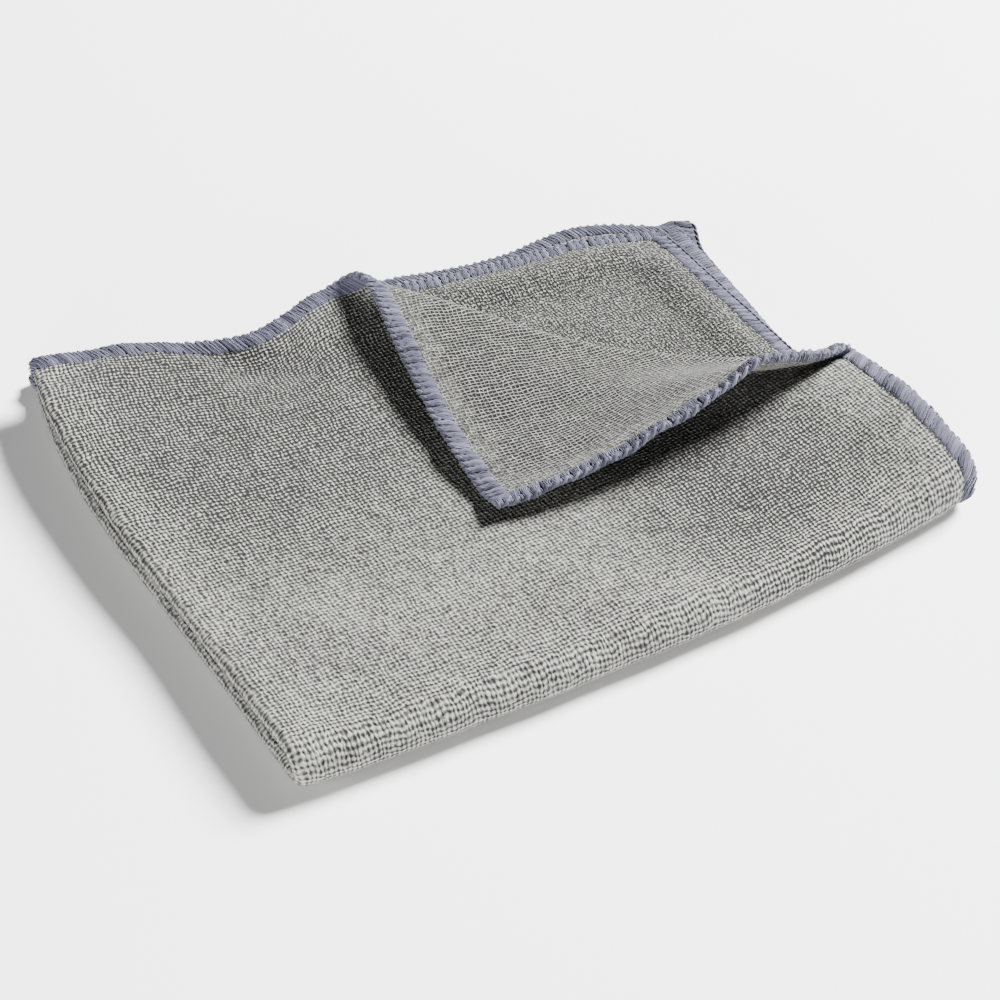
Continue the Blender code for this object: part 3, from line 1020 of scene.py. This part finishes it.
def sweep_on_hem(fold, sizes, side, s, w, out, radius):
    """Tubes along paths that are given in hem coordinates."""
    beside = hem_place(fold, sizes, side, s + 0.3, w, out)
    beside = beside - hem_place(fold, sizes, side, s - 0.3, w, out)
    places = hem_place(fold, sizes, side, s, w, out)
    return sweep(places, beside, radius)


def stitch_strands(fold, sizes, side, turn, half, start, pitch, rng):
    """The strands of the stitches that start at these places along a side."""
    inward, face, high, lean, room = np.array(STRAND_PATH).T
    stitches = len(start)
    shape = (stitches, STRANDS, len(inward))
    order = (np.arange(STRANDS) - (STRANDS - 1) / 2) / STRANDS
    s = start[:, None, None] + order[None, :, None] * room * pitch + turn * (lean - LEAN_MIDDLE)
    s = s + rng.normal(0, STRAY, shape)
    width = sizes.hem_width * (1 + rng.normal(0, WIDTH_VARIES, (stitches, 1, 1)))
    crown = np.where(face > -0.5, *(np.array(c)[:, None] for c in (OUTER_BUNDLES, INNER_BUNDLE)))
    at_edge = np.clip(1 - inward / EDGE_SHARE, 0, 1)
    w = inward * width - BUNDLE_ROUND * crown * at_edge
    w = w + rng.normal(0, EDGE_STRAY, (stitches, STRANDS, 1))
    high = high * sizes.strand / 2 + BUNDLE_ROUND * crown * hump(inward * 0.9 + 0.1)
    high = high + rng.normal(0, STRAY / 3, shape)
    out = face * (sizes.edge / 2 + high)
    s = np.clip(s, -half - HEM_OVERRUN, half + HEM_OVERRUN)
    s, w, out = (np.broadcast_to(part, shape).reshape(-1, shape[2]) for part in (s, w, out))
    thinner = 1 - NEEDLE_TAPER * np.clip(inward, 0, 1) ** 6
    radius = np.broadcast_to(sizes.strand / 2 * thinner, s.shape)
    return sweep_on_hem(fold, sizes, side, s, w, out, radius)


def edge_thread(fold, sizes, side, turn, half, start, pitch, rng):
    """The thread that turns once round the edge at each stitch."""
    along, inward, out, thick = np.array(EDGE_TURN).T
    s = start[:, None] + turn * (along * pitch + EDGE_LEAD)
    s = np.clip(s, -half - HEM_OVERRUN, half + HEM_OVERRUN)
    w = inward + rng.normal(0, EDGE_STRAY, (len(start), 1)) + 0 * s
    return sweep_on_hem(fold, sizes, side, s, w, -out + 0 * s, thick / 2 + 0 * s)


def make_hem(sizes, material, name, side, turn, half, stop):
    """The overlock stitches of one side and the thread that turns along its edge. turn is 1 or
    -1, the way that the stitches lean along the side; stop is where they end, from half."""
    fold = Fold(sizes.length, sizes.width, sizes.thickness)
    rng = np.random.default_rng(int(half * 7) + (1 if side[1] > 0 else 2))
    stitches = round(2 * half / sizes.stitch)
    pitch = 2 * half / stitches
    start = -half + pitch * (np.arange(stitches) + 0.5)
    start = start + rng.normal(0, PITCH_VARIES * pitch, stitches)
    start = start[start < half - stop]
    strands = stitch_strands(fold, sizes, side, turn, half, start, pitch, rng)
    loops = edge_thread(fold, sizes, side, turn, half, start, pitch, rng)
    count = len(strands[0])
    places = np.concatenate([strands[0], loops[0]])
    faces = [strands[1], strands[2], loops[1] + count, loops[2] + count]
    return make_piece(name, places, faces, np.concatenate([strands[3], loops[3]]), [material])


# Each side with its hem: which side of the sheet, the way that its stitches lean, which size
# it runs along, and how far before its end it stops in mm.
HEMS = {
    "hem_right_outer": (("end", 1), 1, "width", 0.0),
    "hem_right_inner": (("end", -1), -1, "width", 0.0),
    "hem_back_upper": (("side", 1), -1, "length", 0.0),
    "hem_back_lower": (("side", -1), 1, "length", 9.0),
}


class CLOTH_OT_hems(bpy.types.Operator):
    bl_idname = "cloth.make_hems"
    bl_label = "Overlocked hems"

    def execute(self, context):
        scene = context.scene
        sizes = in_mm(scene.cloth_sizes)
        material = overlock_yarn(scene.cloth_colours)
        for name, (side, turn, runs, stop) in HEMS.items():
            half = getattr(sizes, runs) / 2
            hem = make_hem(sizes, material, name, side, turn, half, stop)
            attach(hem, "root")
        return {"FINISHED"}


# ---------------------------------------------------------------------------
# Stage
# ---------------------------------------------------------------------------

# Places are in metres.
CAMERA_PLACE = (-0.1807, -0.3391, 0.4028)
CAMERA_LOOKS_AT = (-0.0052, -0.0173, 0.0)
#               place                  size   looks at
KEY_LIGHT = ((1.819, 0.264, 1.543), 0.9, (0.0, 0.0, 0.0))
FILL_LIGHT = ((-0.649, -1.060, 0.131), 0.6, (0.0, 0.0, 0.0))
LEFT_LIGHT = ((-1.173, 0.193, 0.167), 0.4, (0.0, 0.0, 0.0))
FLOOR_SIZE = 6.0


def aim(thing, place, target):
    """Put a light or camera in its place and turn it towards what it looks at."""
    thing.location = place
    away = Vector(place) - Vector(target)
    thing.rotation_euler = away.to_track_quat("Z", "Y").to_euler()


def add_softbox(name, setting, power):
    """A round softbox from its place, width and what it looks at."""
    place, width, target = setting
    data = bpy.data.lights.new(name, "AREA")
    data.shape = "DISK"
    data.size = width
    data.energy = power
    light = bpy.data.objects.new(name, data)
    bpy.context.scene.collection.objects.link(light)
    aim(light, place, target)


def make_stage(scene):
    """The backdrop paper, three softboxes, the light from all round and the camera."""
    stage = scene.cloth_stage
    half = FLOOR_SIZE / 2
    mesh = bpy.data.meshes.new("floor")
    corners = [(-half, -half, 0), (half, -half, 0), (half, half, 0), (-half, half, 0)]
    mesh.from_pydata(corners, [], [(0, 1, 2, 3)])
    mesh.materials.append(floor_paper(scene.cloth_colours))
    floor = bpy.data.objects.new("floor", mesh)
    scene.collection.objects.link(floor)
    add_softbox("key_softbox", KEY_LIGHT, stage.key)
    add_softbox("fill_softbox", FILL_LIGHT, stage.fill)
    add_softbox("left_softbox", LEFT_LIGHT, stage.left)
    world = bpy.data.worlds.new("studio")
    world.use_nodes = True
    background = world.node_tree.nodes["Background"]
    background.inputs["Color"].default_value = linear("#FFFFFF")
    background.inputs["Strength"].default_value = stage.room
    scene.world = world
    data = bpy.data.cameras.new("camera")
    data.lens = stage.lens
    camera = bpy.data.objects.new("camera", data)
    scene.collection.objects.link(camera)
    aim(camera, CAMERA_PLACE, CAMERA_LOOKS_AT)
    scene.camera = camera


class CLOTH_OT_stage(bpy.types.Operator):
    """Make the floor, the lights and the camera"""

    bl_idname = "cloth.make_stage"
    bl_label = "Floor, lights and camera"

    def execute(self, context):
        make_stage(context.scene)
        return {"FINISHED"}


class CLOTH_PT_panel(bpy.types.Panel):
    """Sizes, colours and the steps that build the cloth"""

    bl_label = "Folded cloth"
    bl_idname = "CLOTH_PT_panel"
    bl_space_type = "VIEW_3D"
    bl_region_type = "UI"
    bl_category = "Cloth"

    def draw(self, context):
        layout = self.layout
        for group in (
            context.scene.cloth_sizes,
            context.scene.cloth_colours,
            context.scene.cloth_stage,
        ):
            box = layout.box()
            for name in group.__annotations__:
                box.prop(group, name)
        for step in STEPS:
            layout.operator(step.bl_idname)


STEPS = (CLOTH_OT_stage, CLOTH_OT_sheet, CLOTH_OT_hems)
CLASSES = (ClothSizes, ClothColours, StageSizes, *STEPS, CLOTH_PT_panel)


def register():
    for item in CLASSES:
        bpy.utils.register_class(item)
    bpy.types.Scene.cloth_sizes = bpy.props.PointerProperty(type=ClothSizes)
    bpy.types.Scene.cloth_colours = bpy.props.PointerProperty(type=ClothColours)
    bpy.types.Scene.cloth_stage = bpy.props.PointerProperty(type=StageSizes)


def unregister():
    del bpy.types.Scene.cloth_sizes
    del bpy.types.Scene.cloth_colours
    del bpy.types.Scene.cloth_stage
    for item in reversed(CLASSES):
        bpy.utils.unregister_class(item)


def main():
    register()
    bpy.ops.cloth.make_stage()
    bpy.ops.cloth.make_sheet()
    bpy.ops.cloth.make_hems()


if __name__ == "__main__":
    main()
